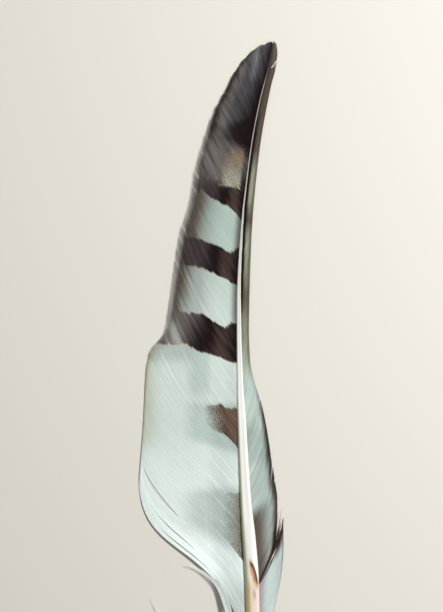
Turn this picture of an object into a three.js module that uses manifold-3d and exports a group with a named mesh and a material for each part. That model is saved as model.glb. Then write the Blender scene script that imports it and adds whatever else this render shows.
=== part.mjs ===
// An eagle's wing feather, lying with its hollow underside up, as one solid grown in one piece.
// The tapering shaft runs from the bare quill to the tip. On its left is the wide inner vane, with the
// step where it narrows, and on its right the narrow outer vane. Each vane is a thin plate of barbs,
// held together in overlapping locks that rise as low steps and end in points along the margin.
// Units are millimetres. +Y runs along the feather to its tip, +X to the outer vane and +Z up from the
// surface. While the pieces are made, Y is counted from the slit that marks the top of the quill.
import * as THREE from "three";
import Module from "manifold-3d";

// Along the feather
const QUILL_END = -77;
const TIP_END = 283;
const FLAT_FROM = 29;
const FLAT_TO = 119;
const QUILL_RISE = 7;
const ARCH_RISE = 1.2;

// The shaft: [y, x of its middle, width]
const SHAFT = [
  [QUILL_END, 2.2, 2.2],
  [-75.5, 2.2, 3.6],
  [-72, 2.1, 4.7],
  [-60, 1.8, 5.9],
  [-35, 1.2, 7.0],
  [0, 0.3, 7.4],
  [20, -1.2, 7.2],
  [40, -2.9, 5.9],
  [82, -5.0, 4.6],
  [103, -5.9, 3.4],
  [146, -6.5, 2.4],
  [188, -4.5, 1.6],
  [210, -2.1, 1.2],
  [231, 0.8, 1.05],
  [252, 4.9, 0.9],
  [268, 9.0, 0.8],
  [280, 11.2, 0.7],
];
const SHAFT_DEPTH = 0.92;
const LEAST_DEPTH = 1.1;
const THIN_DEPTH = 1.6;
const SHAFT_RINGS = 56;
const RING_CROWDING = 1.15;
const SHAFT_SIDES = 16;
const SHAFT_SQUARENESS = 2.7;
const SHAFT_FOOT = 0.06;
const GROOVE_DEPTH = 0.07;
const GROOVE_WIDTH = 0.22;
const GROOVE_FROM = 10;
const GROOVE_FULL = 40;

// The barbs: [y of the root, x of the tip, y of the tip, lean at the root, lean at the tip]. Leans are in
// degrees outwards from the +Y axis. The tips in order are the vane's margin.
const INNER_BARBS = [
  [-46, -59.4, 51.4, 11, 0],
  [-23, -58.6, 62, 17, 2],
  [0, -57.8, 71.6, 27, 3],
  [18.6, -56.7, 90.1, 35, 5],
  [37.1, -55.9, 107.6, 37, 10],
  [45.1, -54.6, 116.1, 38, 14],
  [51.4, -53.0, 120.3, 38, 16],
  [56.7, -49.3, 124.0, 37, 18],
  [63.6, -45.3, 129.3, 36, 18],
  [71.6, -42.7, 136.2, 35, 18],
  [84.8, -40.8, 145.8, 35, 18],
  [106, -38.2, 162.7, 35, 18],
  [132.5, -34.7, 182.3, 34, 18],
  [156.4, -29.7, 198.8, 33, 20],
  [177.6, -26.8, 216.8, 32, 22],
  [196.1, -23.3, 230.6, 31, 22],
  [214.7, -19.6, 245.4, 30, 22],
  [229.5, -13.8, 257.1, 26, 20],
  [243, -6.9, 269.8, 21, 17],
  [256.5, 1.1, 278.3, 15, 12],
  [268.5, 6.9, 281.8, 9, 7],
  [278.3, 11.4, TIP_END, 2, 2],
];
const OUTER_BARBS = [
  [-6, 13.9, 34, 46, -1],
  [6.9, 14.0, 40.8, 34, 4],
  [18.6, 11.7, 55.7, 30, 4],
  [45.1, 8.5, 76.9, 26, 0],
  [58.3, 6.4, 87.5, 25, 0],
  [68.9, 4.2, 95.4, 24, -2],
  [79.5, 1.6, 103.4, 22, -2],
  [92.8, -0.5, 114.0, 20, 2],
  [111.3, -1.1, 129.9, 18, 4],
  [156.4, 0.1, 176.0, 20, 7],
  [204.1, 4.2, 222.6, 24, 11],
  [243.8, 10.6, 259.2, 28, 14],
  [256, 13.1, 269.2, 30, 14],
  [266.6, 14.0, 276.7, 24, 8],
  [273, 13.4, 281.3, 16, 2],
  [278.3, 11.9, TIP_END, 6, -4],
];
const OUTER_BASE_BARBS = [
  [-49.3, 12.2, -16.4, 30, 5],
  [-34.5, 14.8, -6.4, 32, 5],
  [-21.2, 16.4, 4.8, 35, 4],
  [-12.2, 17.2, 17.0, 38, 3],
  [-6.5, 17.0, 31.3, 44, 2],
];
const ROOT_DEPTH = 0.26;

// How straight a barb leaves its root and comes to its tip, as shares of its length: [y of the root, at the
// root, at the tip]. The lowest barbs run up beside the shaft before they turn away from it.
const INNER_HANDLES = [
  [-46, 0.63, 0.41],
  [-23, 0.46, 0.36],
  [0, 0.36, 0.32],
  [20, 0.31, 0.31],
];
const OUTER_HANDLES = [
  [0, 0.31, 0.31],
  [20, 0.31, 0.31],
];

// The vanes spring from the shaft's flanks at a share of its depth, and come down to the surface within
// these distances of the shaft
const FLANK_SHARE = 0.55;
const INNER_SLOPE = 18;
const OUTER_SLOPE = 10;

// How far a vane's margin curls up from the surface: [y, rise]
const INNER_CURL = [
  [-50, 3.2],
  [-20, 2.2],
  [FLAT_FROM, 0],
  [FLAT_TO, 0],
  [141, 2.7],
  [205, 2.6],
  [231, 2.0],
  [248, 0.5],
  [TIP_END, 0.1],
];
const OUTER_CURL = [
  [-50, 1.4],
  [FLAT_FROM, 0],
  [FLAT_TO, 0],
  [190, 0.6],
  [TIP_END, 0.1],
];

// The locks
const VANE_THICK_ROOT = 0.9;
const VANE_THICK_MARGIN = 0.5;
const LOCK_STEP = 0.5;
const LOCK_EDGE = 0.12;
const LOCK_NOTCH = 0.8;
const NOTCH_LIMIT = 0.2;
const LOCK_THINNING = 0.4;
const UNEVEN = 0.5;
const INNER = { side: -1, barbs: INNER_BARBS, handles: INNER_HANDLES, curl: INNER_CURL, slope: INNER_SLOPE };
const OUTER = { side: 1, handles: OUTER_HANDLES, curl: OUTER_CURL, slope: OUTER_SLOPE };
const VANES = [
  { ...INNER, locks: 34, steps: 9, seed: 1 },
  { ...OUTER, barbs: OUTER_BARBS, locks: 25, steps: 5, seed: 2 },
  { ...OUTER, barbs: OUTER_BASE_BARBS, locks: 6, steps: 6, seed: 3 },
];

// Splits between locks: along the barb with its root at y, from one share of its length to another. One
// that reaches past the tip opens to the margin, and one that doesn't is closed at both ends.
const SPLITS = [
  { vane: 0, root: -14, from: 0.56, to: 0.9, wide: 2.0 },
  { vane: 0, root: 177.6, from: 0.68, to: 1.04, wide: 0.6 },
  { vane: 1, root: 66, from: 0.55, to: 1.04, wide: 0.6 },
  { vane: 1, root: 20, from: 0.55, to: 1.04, wide: 0.8 },
  { vane: 1, root: 260, from: 0.45, to: 1.06, wide: 0.5 },
];
const SPLIT_POINTS = 8;
const SPLIT_ENDS = 0.04;
const SPLIT_HEIGHTS = { from: -2, to: 22 };

// Locks that hang loose: their middle line as [x, y] from root to tip, and their width
const LOOSE_LOCKS = [
  {
    line: [[0, -50], [-7, -34], [-12.6, -19.6], [-15.2, -9.9], [-18.6, -3.4], [-23.6, 1], [-29.5, 4.3], [-35, 6.4]],
    wide: 2.0,
    up: 0.2,
  },
  { line: [[0, -51], [-15, -45], [-32, -37], [-43, -28], [-47.7, -19.6], [-53, -8.5]], wide: 0.9, up: 0.4 },
  { line: [[13.6, 12], [15.1, 21], [15.5, 28], [15.9, 35.8]], wide: 0.9, up: 0.1 },
  { line: [[14.6, 12], [16.3, 20], [16.7, 26], [17.1, 31.5]], wide: 0.8, up: 0.1 },
  { line: [[0, -50], [-7, -42], [-13, -33], [-17, -24]], wide: 2.0, up: 0.5 },
  { line: [[0, -53], [-9, -46], [-19, -37], [-26, -29]], wide: 1.9, up: 0.9 },
  { line: [[0, -55], [-8, -51], [-16, -45], [-23, -38]], wide: 1.7, up: 1.0 },
  { line: [[1, -51], [7, -45], [11, -37], [13, -27]], wide: 1.9, up: 0.3 },
  { line: [[1, -54], [6, -50], [10, -44], [11.5, -36]], wide: 1.7, up: 0.4 },
];
const LOOSE_THICK = 0.7;
const LOOSE_THINNING = 0.5;
const LOOSE_TIP = 0.02;
const LOOSE_RINGS = 10;
const LOOSE_SECTION = [[-0.5, 0], [-1, 0.2], [-0.5, 1], [0.5, 1], [1, 0.2], [0.5, 0]];

// The slit on the quill's upper face, and the pit at its end
const SLIT = { x: 1.3, y: 1.2, long: 13, wide: 2.4, deep: 1.2, lean: 14, sides: 16, rings: 10 };
const PIT = { radius: 0.8, deep: 3, mouth: 0.2, sides: 10 };

const VANE_COLOUR = 0xb4bcb9;

const wasm = await Module();
wasm.setup();

// A smooth curve through the rows of a table, with no waves between them: given a value of the first
// column, it returns the others.
function through(rows) {
  const secant = (i, k) => (rows[i + 1][k] - rows[i][k]) / (rows[i + 1][0] - rows[i][0]);
  const slope = (i, k) => {
    if (i === 0) return secant(0, k);
    if (i === rows.length - 1) return secant(i - 1, k);
    const before = secant(i - 1, k);
    const after = secant(i, k);
    return before * after > 0 ? (2 * before * after) / (before + after) : 0;
  };
  return (key) => {
    let i = 0;
    while (i < rows.length - 2 && rows[i + 1][0] <= key) i += 1;
    const [a, b] = [rows[i], rows[i + 1]];
    const span = b[0] - a[0];
    const t = THREE.MathUtils.clamp((key - a[0]) / span, 0, 1);
    return a.slice(1).map((start, n) => {
      const k = n + 1;
      const rise = t * t * (3 - 2 * t);
      const bend = slope(i, k) * t * (1 - t) ** 2 - slope(i + 1, k) * t * t * (1 - t);
      return start + (b[k] - start) * rise + span * bend;
    });
  };
}

const shaftAt = through(SHAFT);
const shaftDepth = (width) => Math.max(width * SHAFT_DEPTH, Math.min(LEAST_DEPTH, width * THIN_DEPTH));

// How high the underside of the shaft is over the surface
function bedHeight(y) {
  if (y < FLAT_FROM) return QUILL_RISE * ((FLAT_FROM - y) / (FLAT_FROM - QUILL_END)) ** 2;
  if (y <= FLAT_TO) return 0;
  return ARCH_RISE * Math.sin((Math.PI * (y - FLAT_TO)) / (TIP_END - FLAT_TO)) ** 2;
}

// A repeatable unevenness from 0 to 1
function uneven(seed, i) {
  const wave = Math.sin(seed * 78.233 + i * 12.9898) * 43758.5453;
  return wave - Math.floor(wave);
}

// The plan of one barb, as a curve from its root inside the shaft to its tip on the margin
function barbCurve(vane, rootY) {
  const [tipX, tipY, rootLean, tipLean] = vane.barbAt(rootY);
  const [middle, width] = shaftAt(rootY);
  const root = new THREE.Vector2(middle + vane.side * ROOT_DEPTH * width, rootY);
  const tip = new THREE.Vector2(tipX, tipY);
  const [atRoot, atTip] = vane.handleAt(rootY).map((share) => share * root.distanceTo(tip));
  const heading = (lean, reach) => {
    const angle = THREE.MathUtils.degToRad(lean);
    return new THREE.Vector2(vane.side * Math.sin(angle), Math.cos(angle)).multiplyScalar(reach);
  };
  const leave = root.clone().add(heading(rootLean, atRoot));
  const arrive = tip.clone().sub(heading(tipLean, atTip));
  return new THREE.CubicBezierCurve(root, leave, arrive, tip);
}

// The height of a vane's lower face at a place that is a given share of the way along its barb
function vaneHeight(vane, { x, y }, share) {
  const [middle, width] = shaftAt(y);
  const away = Math.abs(x - middle) - width / 2;
  const flank = FLANK_SHARE * shaftDepth(width) * (1 - THREE.MathUtils.smoothstep(away, 0, vane.slope));
  return bedHeight(y) + flank + vane.curlAt(y)[0] * share * share;
}

// One closed solid through a row of rings. Point i of a ring lies across from point n - 1 - i, and the
// points go round counterclockwise for someone who looks back along the row.
function loft(rings) {
  const n = rings[0].length;
  const faces = [];
  const quad = (a, b, c, d) => faces.push(a, b, c, a, c, d);
  for (let j = 0; j + 1 < rings.length; j += 1) {
    for (let i = 0; i < n; i += 1) {
      const next = (i + 1) % n;
      quad(j * n + i, j * n + next, (j + 1) * n + next, (j + 1) * n + i);
    }
  }
  const end = (rings.length - 1) * n;
  for (let i = 0; i + 1 < n / 2; i += 1) {
    quad(n - 1 - i, n - 2 - i, i + 1, i);
    quad(end + i, end + i + 1, end + n - 2 - i, end + n - 1 - i);
  }
  const vertProperties = new Float32Array(rings.flat().flatMap((p) => p.toArray()));
  return new wasm.Manifold(new wasm.Mesh({ numProp: 3, vertProperties, triVerts: new Uint32Array(faces) }));
}

// A closed three.js geometry as a solid
function solidOf(geometry) {
  const position = (geometry.index ? geometry.toNonIndexed() : geometry).getAttribute("position");
  const vertProperties = new Float32Array(position.array);
  const triVerts = new Uint32Array(position.count).map((_, i) => i);
  const mesh = new wasm.Mesh({ numProp: 3, vertProperties, triVerts });
  mesh.merge();
  return new wasm.Manifold(mesh);
}

// The lines on which a vane's locks begin and end, each with its height over the plate
function lockLines(vane) {
  const first = vane.barbs[0][0];
  const last = vane.barbs[vane.barbs.length - 1][0];
  const places = [0];
  for (let i = 0; i < vane.locks; i += 1) places.push(places[i] + 1 + UNEVEN * (uneven(vane.seed, i) - 0.5));
  const lines = [];
  for (let i = 0; i < vane.locks; i += 1) {
    const [from, to] = [places[i], places[i + 1]].map((p) => first + ((last - first) * p) / places[vane.locks]);
    const edge = LOCK_EDGE * (to - from);
    lines.push({ y: from, lift: 0, short: LOCK_NOTCH * (0.5 + uneven(vane.seed + 5, i)) });
    lines.push({ y: to - edge, lift: LOCK_STEP, short: 0 });
  }
  lines.push({ y: last, lift: 0, short: 0 });
  return lines;
}

// A vane: a plate with one ring of points for each line, along its top and back along its underside
function vaneSolid(vane) {
  const rings = lockLines(vane).map(({ y, lift, short }) => {
    const curve = barbCurve(vane, y);
    const reach = 1 - Math.min(short / curve.getLength(), NOTCH_LIMIT);
    const top = [];
    const under = [];
    for (let k = 0; k <= vane.steps; k += 1) {
      const share = (reach * k) / vane.steps;
      const plan = curve.getPoint(share);
      const low = vaneHeight(vane, plan, share);
      const step = lift * (1 - LOCK_THINNING * share);
      const thick = THREE.MathUtils.lerp(VANE_THICK_ROOT, VANE_THICK_MARGIN, share) + step;
      top.push(new THREE.Vector3(plan.x, plan.y, low + thick));
      under.unshift(new THREE.Vector3(plan.x, plan.y, low));
    }
    const ring = [...top, ...under];
    return vane.side > 0 ? ring : ring.reverse();
  });
  return loft(rings);
}

// The shaft: rings across its run, each with a flattened foot and the shallow groove of the underside
function shaftSolid() {
  const rings = [];
  for (let j = 0; j <= SHAFT_RINGS; j += 1) {
    const share = j / SHAFT_RINGS;
    const last = SHAFT[SHAFT.length - 1][0];
    const y = QUILL_END + (last - QUILL_END) * share ** RING_CROWDING;
    const [x, width] = shaftAt(y);
    const depth = shaftDepth(width);
    const groove = GROOVE_DEPTH * THREE.MathUtils.smoothstep(y, GROOVE_FROM, GROOVE_FULL);
    const low = bedHeight(y);
    const ring = [];
    for (let i = 0; i < SHAFT_SIDES; i += 1) {
      const turn = -Math.PI / 2 - (2 * Math.PI * (i + 0.5)) / SHAFT_SIDES;
      const round = (v) => 0.5 * Math.sign(v) * Math.abs(v) ** (2 / SHAFT_SQUARENESS);
      const across = round(Math.cos(turn));
      const dip = groove * Math.max(0, 1 - (across / GROOVE_WIDTH) ** 2) * (turn < -Math.PI ? 1 : 0);
      const up = Math.max(0.5 + round(Math.sin(turn)) - dip, SHAFT_FOOT) - SHAFT_FOOT;
      ring.push(new THREE.Vector3(x + across * width, y, low + up * depth));
    }
    rings.push(ring);
  }
  return loft(rings);
}

// A loose lock: a narrow blade, broadest at a third of its length and pointed at its tip
function looseLock({ line, wide, up }) {
  const curve = new THREE.CatmullRomCurve3(line.map(([x, y]) => new THREE.Vector3(x, y, 0)));
  const rings = [];
  for (let j = 0; j <= LOOSE_RINGS; j += 1) {
    const share = j / LOOSE_RINGS;
    const middle = curve.getPoint(share);
    const ahead = curve.getTangent(share);
    const across = new THREE.Vector3(ahead.y, -ahead.x, 0);
    const half = (wide / 2) * Math.sqrt(Math.max(1 - share ** 3, LOOSE_TIP));
    const low = bedHeight(middle.y) + up + share;
    const thick = LOOSE_THICK * (1 - LOOSE_THINNING * share);
    rings.push(LOOSE_SECTION.map(([a, z]) => middle.clone().addScaledVector(across, a * half).setZ(low + z * thick)));
  }
  return loft(rings);
}

// The cutter for a split: a thin leaf along the barb, extruded through the plate
function splitCutter({ vane, root, from, to, wide }) {
  const curve = barbCurve(VANES[vane], root);
  const sides = [[], []];
  for (let i = 0; i <= SPLIT_POINTS; i += 1) {
    const share = i / SPLIT_POINTS;
    const along = from + (to - from) * share;
    const middle = curve.getPoint(Math.min(along, 1));
    const ahead = curve.getTangent(Math.min(along, 1));
    middle.addScaledVector(ahead, Math.max(along - 1, 0) * curve.getLength());
    const half = (wide / 2) * (to > 1 ? share : Math.sin(Math.PI * share)) + SPLIT_ENDS / 2;
    sides[0].push(new THREE.Vector2(middle.x - ahead.y * half, middle.y + ahead.x * half));
    sides[1].unshift(new THREE.Vector2(middle.x + ahead.y * half, middle.y - ahead.x * half));
  }
  const outline = new THREE.Shape([...sides[0], ...sides[1]]);
  const depth = SPLIT_HEIGHTS.to - SPLIT_HEIGHTS.from;
  const leaf = new THREE.ExtrudeGeometry(outline, { depth, bevelEnabled: false });
  return solidOf(leaf.translate(0, 0, SPLIT_HEIGHTS.from));
}

// The cutter for the slit where the quill opened while the feather grew: a long, narrow ellipsoid
function slitCutter() {
  const [, width] = shaftAt(SLIT.y);
  const top = bedHeight(SLIT.y) + shaftDepth(width);
  const stone = new THREE.SphereGeometry(1, SLIT.sides, SLIT.rings);
  stone.scale(SLIT.wide / 2, SLIT.long / 2, SLIT.deep);
  stone.rotateZ(THREE.MathUtils.degToRad(SLIT.lean));
  return solidOf(stone.translate(SLIT.x, SLIT.y, top));
}

// The cutter for the pit at the quill's end: a cone that points up the quill
function pitCutter() {
  const [x, width] = shaftAt(QUILL_END);
  const cone = new THREE.ConeGeometry(PIT.radius, PIT.deep, PIT.sides);
  cone.translate(x, QUILL_END + PIT.deep / 2 - PIT.mouth, bedHeight(QUILL_END) + shaftDepth(width) / 2);
  return solidOf(cone);
}

function featherGeometry() {
  const join = (a, b) => a.add(b);
  const cut = (a, b) => a.subtract(b);
  const plates = VANES.map(vaneSolid);
  const split = SPLITS.reduce((solid, gap) => cut(solid, splitCutter(gap)), plates.reduce(join));
  const whole = [shaftSolid(), ...LOOSE_LOCKS.map(looseLock)].reduce(join, split);
  const made = [slitCutter(), pitCutter()].reduce(cut, whole).getMesh();
  const geometry = new THREE.BufferGeometry();
  geometry.setAttribute("position", new THREE.BufferAttribute(made.vertProperties, 3));
  geometry.setIndex(new THREE.BufferAttribute(made.triVerts, 1));
  geometry.computeVertexNormals();
  return geometry;
}

VANES.forEach((vane) => {
  vane.barbAt = through(vane.barbs);
  vane.handleAt = through(vane.handles);
  vane.curlAt = through(vane.curl);
});

const feather = new THREE.Mesh(
  featherGeometry(),
  new THREE.MeshStandardMaterial({ color: VANE_COLOUR, roughness: 0.7, metalness: 0 }),
);
feather.name = "feather";

// The origin is on the surface under the middle of the feather's outline.
feather.geometry.computeBoundingBox();
const middle = feather.geometry.boundingBox.getCenter(new THREE.Vector3());
feather.position.set(-middle.x, -middle.y, -feather.geometry.boundingBox.min.z);

const group = new THREE.Group();
group.add(feather);

export default group;
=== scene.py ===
import math

import bmesh
import bpy
import numpy as np
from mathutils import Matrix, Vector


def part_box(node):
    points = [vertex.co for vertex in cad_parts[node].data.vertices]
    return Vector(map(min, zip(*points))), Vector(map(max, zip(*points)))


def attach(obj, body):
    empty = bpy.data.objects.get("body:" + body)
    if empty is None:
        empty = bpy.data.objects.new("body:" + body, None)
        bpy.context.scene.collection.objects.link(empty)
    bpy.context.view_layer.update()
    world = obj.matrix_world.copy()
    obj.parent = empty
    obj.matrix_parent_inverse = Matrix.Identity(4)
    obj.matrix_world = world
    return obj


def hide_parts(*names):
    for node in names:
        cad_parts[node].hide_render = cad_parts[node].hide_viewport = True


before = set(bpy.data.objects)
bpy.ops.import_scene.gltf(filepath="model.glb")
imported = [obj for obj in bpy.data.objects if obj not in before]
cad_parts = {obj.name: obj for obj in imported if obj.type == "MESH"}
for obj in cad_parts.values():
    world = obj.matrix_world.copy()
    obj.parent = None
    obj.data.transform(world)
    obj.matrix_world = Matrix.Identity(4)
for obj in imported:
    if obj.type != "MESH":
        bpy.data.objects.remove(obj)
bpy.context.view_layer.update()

# The shaft: the stiff middle of the feather, grown of keratin. The quill at its foot is a clear, hollow,
# horn-coloured tube, and from the slit upwards it is filled with white pith and has a shallow groove.
# Places are in millimetres from the slit, with Y towards the tip, as in the solid that it stands for.
QUILL_END = -77
TIP_END = 283
INNER_REACH = -59.4
FLAT_FROM = 29
FLAT_TO = 119
QUILL_RISE = 7
ARCH_RISE = 1.2
# Places up the shaft: how far up, where the shaft's middle is across and how wide it is
SHAFT = [
    (QUILL_END, 2.2, 2.2), (-75.5, 2.2, 3.6), (-72, 2.1, 4.7), (-60, 1.8, 5.9), (-35, 1.2, 7.0),
    (0, 0.3, 7.4), (20, -1.2, 7.2), (40, -2.9, 5.9), (82, -5.0, 4.6), (103, -5.9, 3.4),
    (146, -6.5, 2.4), (188, -4.5, 1.6), (210, -2.1, 1.2), (231, 0.8, 1.05), (252, 4.9, 0.9),
    (268, 9.0, 0.8), (280, 11.2, 0.7),
]
# The shaft's depth as a share of its width, and where it is thin the least depth, up to a number of times
# its width
SHAFT_DEPTH = 0.92
LEAST_DEPTH = 1.1
THIN_DEPTH = 1.6
SHAFT_SIDES = 64
SHAFT_STEP = 1.25
FINE_STEP = 0.3
ROUNDED_END = 2
SQUARENESS = 2.7
# The groove's depth and half width, as shares of the shaft's, and where up the shaft it deepens
GROOVE_DEPTH = 0.05
GROOVE_WIDTH = 0.26
GROOVE_DEEPENS = (10, 40)
SLIT_MIDDLE = (1.3, 1.2)
SLIT_LEAN = 14
SLIT_LONG = 13
SLIT_WIDE = 2.6
SLIT_DEEP = 0.8
SLIT_SURROUND = 1.2
QUILL_CLEARS = (3, -9)
CLEARING_SLANT = 6
PITH_IVORY = (250, 250, 242)
HORN_YELLOW = (226, 206, 146)
HORN_BEIGE = (240, 228, 204)
HORN_PINK = (242, 216, 210)
LEFT_FLANK_SHADE = (212, 212, 160)
THIN_GREY = (172, 164, 152)
END_BROWN = (62, 54, 50)
SLIT_RED = (96, 40, 36)
SLIT_ORANGE = (216, 158, 74)
SLIT_SALMON = (196, 142, 112)
SLIT_GREY = (120, 108, 96)
# Washes of colour, laid one over another: the colour, its strength, and where it fades in. A fade names a
# measure with its values where the wash starts and where it is full, or names a share that is worked out.
HORN_WASHES = [
    (HORN_BEIGE, 1, ("across", -0.3, -0.05)),
    (HORN_PINK, 1, ("across", 0, 0.3), ("across", 0.48, 0.36)),
]
SHAFT_WASHES = [
    # Painted shade: the shaft's left flank, turned from the lamp, is darker and greenish
    (LEFT_FLANK_SHADE, 0.9, ("across", -0.2, -0.42), ("y", 110, 40)),
    (THIN_GREY, 0.8, ("y", 80, 235)),
    (END_BROWN, 1, ("y", 258, 270)),
    (SLIT_SALMON, 1, "top", ("slit radius", 1.05, 0.85)),
    (SLIT_GREY, 1, "top", "slit core"),
    (SLIT_ORANGE, 0.9, "slit rim", ("slit side", 0.35, -0.35)),
    (SLIT_RED, 1, "slit rim", ("slit side", -0.35, 0.35)),
    (SLIT_RED, 0.5, "top", "stain"),
    (SLIT_ORANGE, 0.45, "top", "yellow line", ("y", 0, -6)),
]
DOWN_OF_BOX = np.array([*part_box("feather")[0]]) * 1000
SHIFT = DOWN_OF_BOX - np.array([INNER_REACH, QUILL_END, 0])


def through(rows):
    """A smooth curve through a table's rows: given values of the first column, it returns the others."""
    rows = np.array(rows, float)
    key, columns = rows[:, 0], rows[:, 1:]
    secant = np.diff(columns, axis=0) / np.diff(key)[:, None]
    product = secant[:-1] * secant[1:]
    total = secant[:-1] + secant[1:]
    inner = np.where(product > 0, 2 * product / np.where(total == 0, 1, total), 0)
    slope = np.vstack([secant[:1], inner, secant[-1:]])

    def at(value):
        value = np.clip(np.asarray(value, float), key[0], key[-1])
        i = np.clip(np.searchsorted(key, value, side="right") - 1, 0, len(key) - 2)
        span = (key[i + 1] - key[i])[..., None]
        t = (value - key[i])[..., None] / span
        rise = t * t * (3 - 2 * t)
        bend = slope[i] * t * (1 - t) ** 2 - slope[i + 1] * t * t * (1 - t)
        return columns[i] + (columns[i + 1] - columns[i]) * rise + span * bend

    return at


def smooth_step(start, full, value):
    t = np.clip((value - start) / (full - start), 0, 1)
    return t * t * (3 - 2 * t)


def spot(value, middle, reach):
    """A soft spot, 1 where the value is at the middle and nearly gone at twice the reach from it."""
    return np.exp(-(((value - middle) / reach) ** 2))


def bed_height(y):
    """How high the feather's underside is over the surface, on the line of the shaft."""
    quill = QUILL_RISE * (np.clip(FLAT_FROM - y, 0, None) / (FLAT_FROM - QUILL_END)) ** 2
    arch = ARCH_RISE * np.sin(np.pi * np.clip((y - FLAT_TO) / (TIP_END - FLAT_TO), 0, 1)) ** 2
    return quill + arch


def linear(colour):
    """A colour read by eye, as 0 to 255 for each channel, as light."""
    share = np.asarray(colour, float) / 255
    return np.where(share <= 0.04045, share / 12.92, ((share + 0.055) / 1.055) ** 2.4)


def blend(a, b, share):
    share = np.asarray(share, float)[..., None]
    return a * (1 - share) + b * share


def washed(under, washes, places):
    """Lays washes over the colours below. A number in place of a colour makes them lighter or darker."""
    for colour, strength, *fades in washes:
        share = strength
        for fade in fades:
            if isinstance(fade, str):
                share = share * places[fade]
            else:
                measure, start, full = fade
                share = share * smooth_step(start, full, places[measure])
        over = linear(colour) if isinstance(colour, tuple) else under * colour
        under = blend(under, over, share)
    return under


def in_place(points):
    """Points in millimetres from the slit, as metres in the frame."""
    return (points + SHIFT) / 1000


def drawn_out(name, rings, smooth, closed_foot):
    """Slender bodies as one piece, each a flat end that is extruded from ring to ring of corners.

    Extruding takes the first end away, and a closed foot is a new face in its place.
    """
    bodies, stations, corners = rings.shape[:3]
    points = in_place(rings).tolist()
    shape = bmesh.new()
    body = shape.faces.layers.int.new("body")
    number = shape.verts.layers.int.new("corner")
    for _ in range(bodies):
        bmesh.ops.create_circle(shape, cap_ends=True, radius=1, segments=corners)
    ends = shape.faces[:]
    for i, end in enumerate(ends):
        end[body] = i
    feet = [end.verts[:] for end in ends] if closed_foot else []
    for station in range(stations):
        if station:
            ends = bmesh.ops.extrude_discrete_faces(shape, faces=ends)["faces"]
        for end in ends:
            first = (end[body] * stations + station) * corners
            for corner, vert in enumerate(end.verts):
                vert.co = points[end[body]][station][corner]
                vert[number] = first + corner
    for foot in feet:
        shape.faces.new(foot)
    bmesh.ops.recalc_face_normals(shape, faces=shape.faces)
    for face in shape.faces:
        face.smooth = smooth and len(face.verts) == 4
    made = bpy.data.objects.new(name, bpy.data.meshes.new(name))
    shape.to_mesh(made.data)
    shape.free()
    bpy.context.collection.objects.link(made)
    return made


def by_vertex(mesh, values):
    """Values for the corners of a drawn-out mesh, or for its rings, in the order of its vertices."""
    order = np.empty(len(mesh.vertices), np.int32)
    mesh.attributes["corner"].data.foreach_get("value", order)
    values = np.asarray(values, float).reshape(-1, 3)
    return np.repeat(values, len(order) // len(values), axis=0)[order]


def paint(mesh, name, colours):
    """Keeps colours as an attribute."""
    colours = by_vertex(mesh, colours)
    rgba = np.column_stack([colours, np.ones(len(colours))])
    layer = mesh.attributes.new(name, "FLOAT_COLOR", "POINT")
    layer.data.foreach_set("color", rgba.astype(np.float32).ravel())


shaft_at = through(SHAFT)


def shaft_depth(width):
    return np.maximum(width * SHAFT_DEPTH, np.minimum(LEAST_DEPTH, width * THIN_DEPTH))


def squarish(wave):
    """A sine or cosine whose circle is squared a little."""
    return np.sign(wave) * np.abs(wave) ** (2 / SQUARENESS)


slit_from, slit_to = (SLIT_MIDDLE[1] + end * SLIT_LONG / 2 for end in (-SLIT_SURROUND, SLIT_SURROUND))
up_shaft = np.concatenate([
    np.arange(QUILL_END, QUILL_END + ROUNDED_END, FINE_STEP),
    np.arange(QUILL_END + ROUNDED_END, slit_from, SHAFT_STEP),
    np.arange(slit_from, slit_to, FINE_STEP),
    np.arange(slit_to, SHAFT[-1][0] + SHAFT_STEP, SHAFT_STEP),
])[:, None]
shaft_middle, shaft_width = np.moveaxis(shaft_at(up_shaft), -1, 0)
turn = -np.pi / 2 - 2 * np.pi * (np.arange(SHAFT_SIDES) + 0.5) / SHAFT_SIDES
shaft_across = 0.5 * squarish(np.cos(turn))
shaft_up = 0.5 + 0.5 * squarish(np.sin(turn))
on_top = shaft_up > 0.5
groove = GROOVE_DEPTH * smooth_step(*GROOVE_DEEPENS, up_shaft)
shaft_up = shaft_up - on_top * groove * np.clip(1 - (shaft_across / GROOVE_WIDTH) ** 2, 0, 1)
shaft_x = shaft_middle + shaft_across * shaft_width
shaft_z = bed_height(up_shaft) + shaft_up * shaft_depth(shaft_width)
lean = math.radians(SLIT_LEAN)
off_x, off_y = shaft_x - SLIT_MIDDLE[0], up_shaft - SLIT_MIDDLE[1]
slit_run = (off_y * math.cos(lean) - off_x * math.sin(lean)) / (SLIT_LONG / 2)
slit_side = (off_x * math.cos(lean) + off_y * math.sin(lean)) / (SLIT_WIDE / 2)
slit_radius = np.hypot(slit_run, slit_side)
shaft_z = shaft_z - SLIT_DEEP * on_top * np.clip(1 - slit_radius**2, 0, 1)
shaft_places = {
    "y": up_shaft,
    "across": shaft_across,
    "top": on_top,
    "slit radius": slit_radius,
    "slit side": slit_side + 0.5 * slit_run,
    "slit core": spot(slit_side, 0, 0.45) * spot(slit_run, -0.45, 0.35),
    "slit rim": on_top * spot(slit_radius, 0.92, 0.3),
    "stain": spot(shaft_across, 0.16, 0.1) * spot(up_shaft, -9, 2.6),
    "yellow line": spot(shaft_across, -0.25, 0.1),
}
horn = washed(linear(HORN_YELLOW), HORN_WASHES, shaft_places)
clear = smooth_step(*QUILL_CLEARS, up_shaft + CLEARING_SLANT * shaft_across)
shaft_tint = washed(blend(linear(PITH_IVORY), horn, clear), SHAFT_WASHES, shaft_places)
shaft_rings = np.stack(np.broadcast_arrays(shaft_x, up_shaft, shaft_z), axis=-1)
# The very end of the quill has no face of its own
shaft = drawn_out("shaft", shaft_rings[None], smooth=True, closed_foot=False)
paint(shaft.data, "tint", shaft_tint)


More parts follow.
